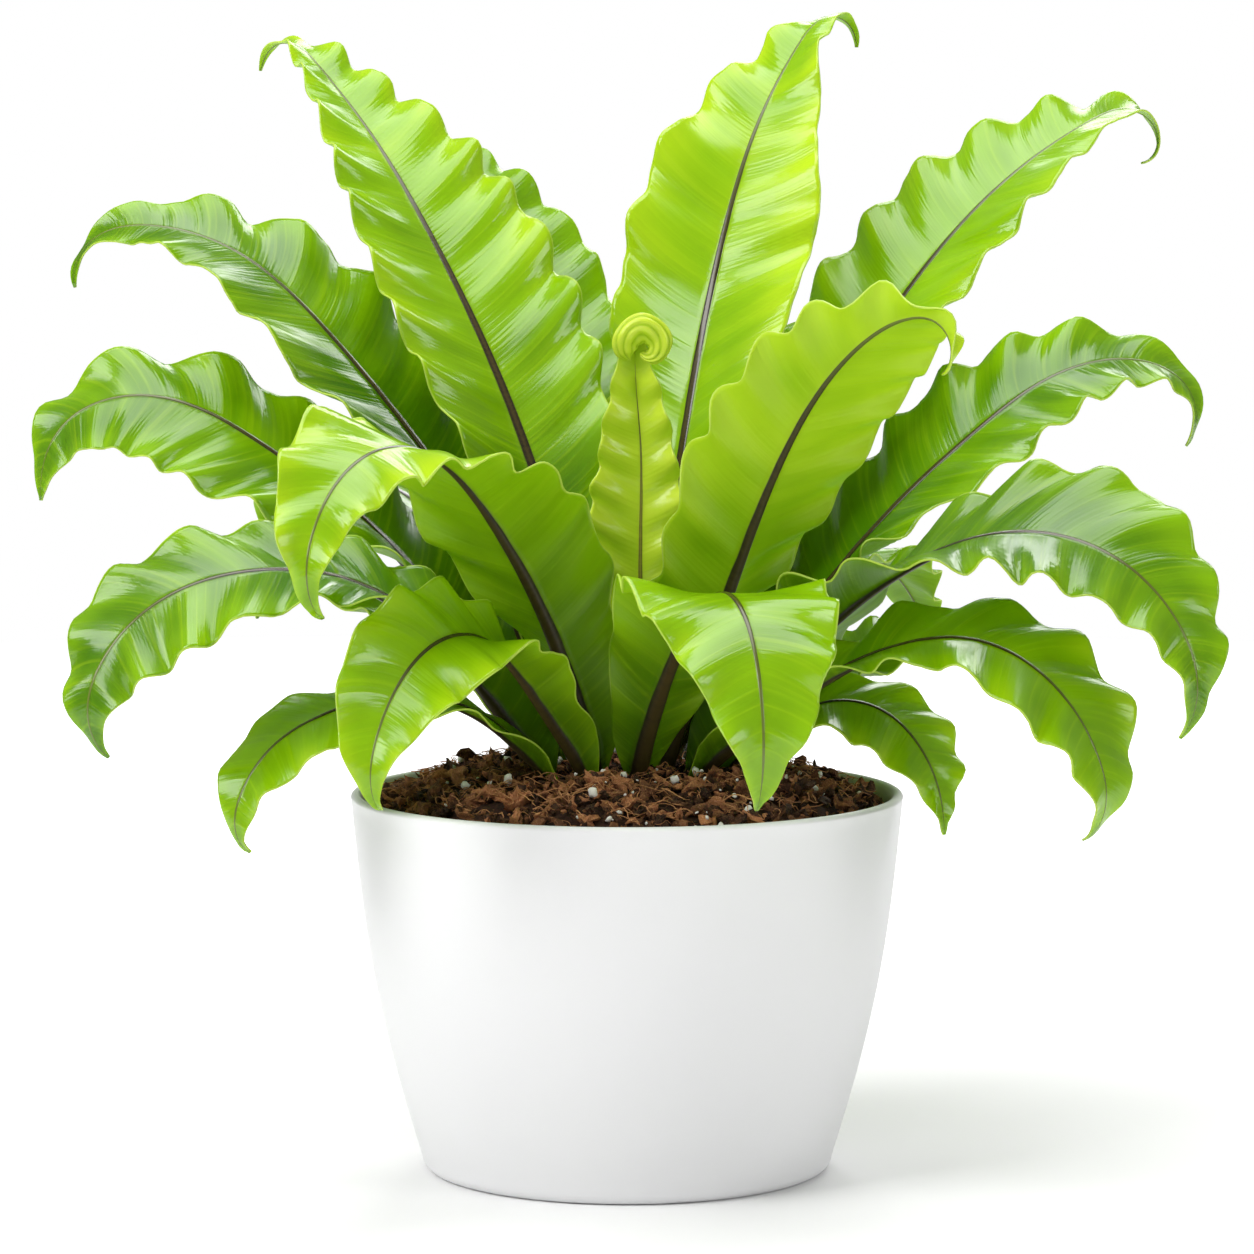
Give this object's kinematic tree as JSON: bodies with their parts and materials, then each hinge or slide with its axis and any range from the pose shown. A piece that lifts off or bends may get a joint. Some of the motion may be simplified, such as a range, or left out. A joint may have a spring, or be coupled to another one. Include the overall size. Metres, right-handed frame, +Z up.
{
  "type": "potted birds nest fern",
  "caption": "Bird's nest fern: long glossy wavy-edged fronds arching from one short crown, in potting mix in a plain white tapered pot.",
  "frame": {"origin": "middle of the pot's flat base, on the surface that it stands on", "axes": "+Z up along the pot's axis; -Y is the front, the side seen in the picture; +X is to the right"},
  "size_m": [0.3926, 0.3579, 0.3831],
  "materials": {
    "pot": "satin white",
    "potting_mix": "loose bark, coir and perlite",
    "crown": "rough and scaly",
    "frond": "glossy above, duller below",
    "young_frond": "soft gloss"
  },
  "bodies": {
    "root": {"pot": "pot", "potting_mix": "potting_mix", "crown": "crown", "frond_top_left": "frond", "frond_top_right": "frond", "frond_high_right": "frond", "frond_behind_left": "frond", "frond_high_left": "frond", "frond_front_right": "frond", "frond_left": "frond", "frond_low_left": "frond", "frond_front_left": "frond", "frond_low_front_left": "frond", "frond_front": "frond", "frond_right_arch": "frond", "frond_right": "frond", "frond_low_right": "frond", "frond_small_right": "frond", "frond_small_left": "frond", "frond_young": "young_frond", "frond_back": "frond", "frond_back_left": "frond", "frond_back_right": "frond", "frond_back_middle": "frond", "frond_low_back_left": "frond", "frond_low_back_right": "frond", "frond_small_back": "frond"}
  },
  "joints": []
}
